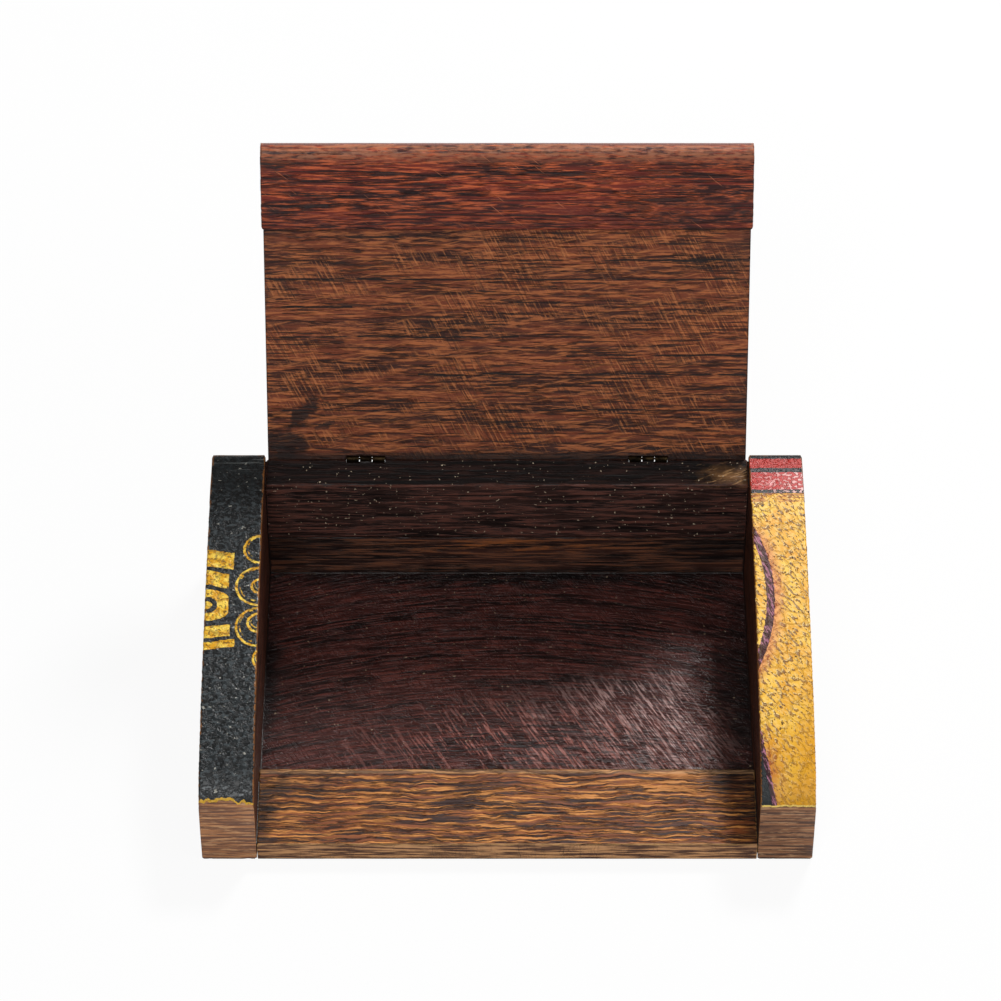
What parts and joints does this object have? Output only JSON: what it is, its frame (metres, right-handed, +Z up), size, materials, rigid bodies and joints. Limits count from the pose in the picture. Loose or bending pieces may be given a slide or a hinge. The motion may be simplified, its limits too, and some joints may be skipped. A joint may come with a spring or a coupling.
{
  "type": "wooden box with hinged lid",
  "caption": "Painted wooden box with thick arched end blocks, a carved arched lid hinged at the back that stands open, and a low front sill.",
  "frame": {"origin": "centre of the underside, at the floor board", "axes": "+X to the right along the box's width, +Y to the back where the lid hinges, +Z up; the front is at -Y"},
  "size_m": [0.2, 0.1935, 0.1526],
  "materials": {
    "black_paint": "pebbled black paint with gold ornament, satin",
    "yellow_paint": "crackled yellow paint, satin",
    "dark_wood": "dark stained, worn",
    "floor_wood": "dark red-brown, scratched",
    "sill_wood": "bare golden-brown, rough",
    "lid_wood": "warm brown, sanded",
    "red_wood": "deep red-brown, worn",
    "peg_wood": "bare, end grain showing",
    "aged_brass": "tarnished"
  },
  "bodies": {
    "box": {"left_end_block": "black_paint", "right_end_block": "yellow_paint", "floor_board": "floor_wood", "lower_back_board": "dark_wood", "back_rail": "dark_wood", "front_sill": "sill_wood", "left_upper_rear_peg": "peg_wood", "left_lower_rear_peg": "peg_wood", "left_front_peg": "peg_wood", "right_upper_rear_peg": "peg_wood", "right_lower_rear_peg": "peg_wood", "right_front_peg": "peg_wood", "left_hinge_box_leaf": "aged_brass", "left_hinge_pin": "aged_brass", "left_hinge_box_brad_outer": "aged_brass", "left_hinge_box_brad_inner": "aged_brass", "right_hinge_box_leaf": "aged_brass", "right_hinge_pin": "aged_brass", "right_hinge_box_brad_outer": "aged_brass", "right_hinge_box_brad_inner": "aged_brass"},
    "lid": {"lid_panel": "lid_wood", "lid_front_strip": "red_wood", "left_hinge_lid_leaf": "aged_brass", "left_hinge_lid_brad_outer": "aged_brass", "left_hinge_lid_brad_inner": "aged_brass", "right_hinge_lid_leaf": "aged_brass", "right_hinge_lid_brad_outer": "aged_brass", "right_hinge_lid_brad_inner": "aged_brass"}
  },
  "joints": [
    {"name": "lid_hinge", "type": "hinge", "parent": "box", "child": "lid", "pos_m": [0, 0.06685, 0.05062], "axis": [1, 0, 0], "range_deg": [0, 134.5]}
  ]
}
